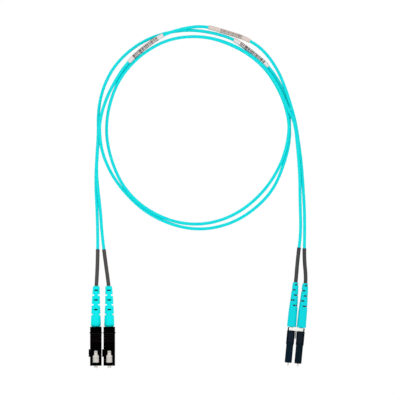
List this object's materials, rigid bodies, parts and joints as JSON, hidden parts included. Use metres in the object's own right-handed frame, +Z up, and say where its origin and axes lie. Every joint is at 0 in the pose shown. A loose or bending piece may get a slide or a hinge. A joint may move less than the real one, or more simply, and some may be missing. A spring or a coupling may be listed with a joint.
{
  "type": "duplex fibre patch cord",
  "caption": "Duplex fibre patch cord with clipped LC plugs at one end, SC plugs at the other, slotted boots and a coiled aqua cable pair.",
  "frame": {"origin": "middle of the plugs' own box, on the surface that everything lies on (the cables, sleeves and labels are left out of that box)", "axes": "+Z up from the surface; plugs' front ends point towards -Y (the LC pair is turned 5.4 degrees towards -X); +X from the SC plugs to the LC plugs; cable loop towards +Y"},
  "size_m": [0.1406, 0.2197, 0.009],
  "materials": {
    "black_plastic": "satin black moulded plastic",
    "light_plastic": "off-white moulded plastic",
    "clip_plastic": "white moulded plastic",
    "aqua_boot": "soft aqua elastomer",
    "aqua_jacket": "smooth aqua cable jacket",
    "grey_shrink": "matt dark grey shrink tube",
    "label_film": null,
    "ceramic": "polished white ceramic",
    "metal": "plain turned metal"
  },
  "bodies": {
    "cord_and_plug_cores": {"lc_housing_1": "black_plastic", "lc_spring_1": "metal", "lc_rear_body_1": "black_plastic", "lc_crimp_sleeve_1": "metal", "lc_boot_1": "aqua_boot", "lc_shrink_sleeve_1": "grey_shrink", "sc_inner_body_1": "light_plastic", "sc_spring_1": "metal", "sc_rear_body_1": "black_plastic", "sc_crimp_ring_1": "metal", "sc_boot_1": "aqua_boot", "sc_shrink_sleeve_1": "grey_shrink", "lc_housing_2": "black_plastic", "lc_spring_2": "metal", "lc_rear_body_2": "black_plastic", "lc_crimp_sleeve_2": "metal", "lc_boot_2": "aqua_boot", "lc_shrink_sleeve_2": "grey_shrink", "sc_inner_body_2": "light_plastic", "sc_spring_2": "metal", "sc_rear_body_2": "black_plastic", "sc_crimp_ring_2": "metal", "sc_boot_2": "aqua_boot", "sc_shrink_sleeve_2": "grey_shrink", "lc_duplex_clip": "clip_plastic", "cable_a": "aqua_jacket", "cable_b": "aqua_jacket", "label_1": "label_film", "label_2": "label_film", "label_3": "label_film"},
    "sc_grip_body_1": {"sc_grip_1": "black_plastic"},
    "sc_ferrule_body_1": {"sc_ferrule_1": "ceramic", "sc_ferrule_flange_1": "metal"},
    "lc_ferrule_body_1": {"lc_ferrule_1": "ceramic", "lc_ferrule_flange_1": "metal"},
    "lc_latch_body_1": {"lc_latch_arm_1": "black_plastic"},
    "lc_trigger_body_1": {"lc_trigger_1": "black_plastic"},
    "sc_grip_body_2": {"sc_grip_2": "black_plastic"},
    "sc_ferrule_body_2": {"sc_ferrule_2": "ceramic", "sc_ferrule_flange_2": "metal"},
    "lc_ferrule_body_2": {"lc_ferrule_2": "ceramic", "lc_ferrule_flange_2": "metal"},
    "lc_latch_body_2": {"lc_latch_arm_2": "black_plastic"},
    "lc_trigger_body_2": {"lc_trigger_2": "black_plastic"}
  },
  "joints": [
    {"name": "sc_grip_slide_1", "type": "slide", "parent": "cord_and_plug_cores", "child": "sc_grip_body_1", "axis": [0, -1, 0], "range_m": [0, 0.0014]},
    {"name": "sc_ferrule_slide_1", "type": "slide", "parent": "cord_and_plug_cores", "child": "sc_ferrule_body_1", "axis": [0, 1, 0], "range_m": [0, 0.001], "stiffness_N_per_m": 900, "deforming": ["sc_spring_1"]},
    {"name": "lc_ferrule_slide_1", "type": "slide", "parent": "cord_and_plug_cores", "child": "lc_ferrule_body_1", "axis": [0.0941, 0.9956, 0], "range_m": [0, 0.0008], "stiffness_N_per_m": 700, "deforming": ["lc_spring_1"]},
    {"name": "lc_latch_hinge_1", "type": "hinge", "parent": "cord_and_plug_cores", "child": "lc_latch_body_1", "pos_m": [0.05747, -0.02252, 0.00516], "axis": [0.9956, -0.0941, 0], "range_deg": [-6, 0], "stiffness_Nm_per_rad": 0.025},
    {"name": "lc_trigger_hinge_1", "type": "hinge", "parent": "cord_and_plug_cores", "child": "lc_trigger_body_1", "pos_m": [0.0592, -0.00425, 0.00545], "axis": [0.9956, -0.0941, 0], "range_deg": [0, 12]},
    {"name": "sc_grip_slide_2", "type": "slide", "parent": "cord_and_plug_cores", "child": "sc_grip_body_2", "axis": [0, -1, 0], "range_m": [0, 0.0014]},
    {"name": "sc_ferrule_slide_2", "type": "slide", "parent": "cord_and_plug_cores", "child": "sc_ferrule_body_2", "axis": [0, 1, 0], "range_m": [0, 0.001], "stiffness_N_per_m": 900, "deforming": ["sc_spring_2"]},
    {"name": "lc_ferrule_slide_2", "type": "slide", "parent": "cord_and_plug_cores", "child": "lc_ferrule_body_2", "axis": [0.0941, 0.9956, 0], "range_m": [0, 0.0008], "stiffness_N_per_m": 700, "deforming": ["lc_spring_2"]},
    {"name": "lc_latch_hinge_2", "type": "hinge", "parent": "cord_and_plug_cores", "child": "lc_latch_body_2", "pos_m": [0.06369, -0.02311, 0.00516], "axis": [0.9956, -0.0941, 0], "range_deg": [-6, 0], "stiffness_Nm_per_rad": 0.025},
    {"name": "lc_trigger_hinge_2", "type": "hinge", "parent": "cord_and_plug_cores", "child": "lc_trigger_body_2", "pos_m": [0.06542, -0.00484, 0.00545], "axis": [0.9956, -0.0941, 0], "range_deg": [0, 12]}
  ],
  "couplings": [
    {"joint": "lc_trigger_hinge_1", "follows": "lc_latch_hinge_1", "ratio": -2},
    {"joint": "lc_trigger_hinge_2", "follows": "lc_latch_hinge_2", "ratio": -2}
  ]
}
